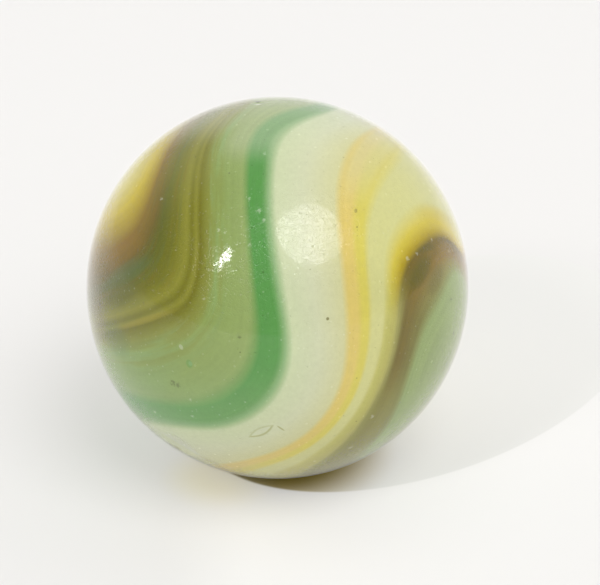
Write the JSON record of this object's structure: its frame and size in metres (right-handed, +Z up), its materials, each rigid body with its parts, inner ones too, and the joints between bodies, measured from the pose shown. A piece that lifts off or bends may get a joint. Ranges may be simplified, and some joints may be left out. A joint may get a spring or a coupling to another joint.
{
  "type": "glass marble",
  "caption": "Solid ball of swirled glass in greens, gold, cream and brown, with play wear; rolls on any smooth surface.",
  "frame": {"origin": "centre of the ball", "axes": "+Z up as the ball stands in its mount, -Y towards the front with the leaf-shaped scar, +X to the right"},
  "size_m": [0.016, 0.016, 0.016],
  "materials": {
    "swirl_glass": "glossy opaque swirled glass, scuffed by play"
  },
  "bodies": {
    "root": {"marble": "swirl_glass"}
  },
  "joints": []
}
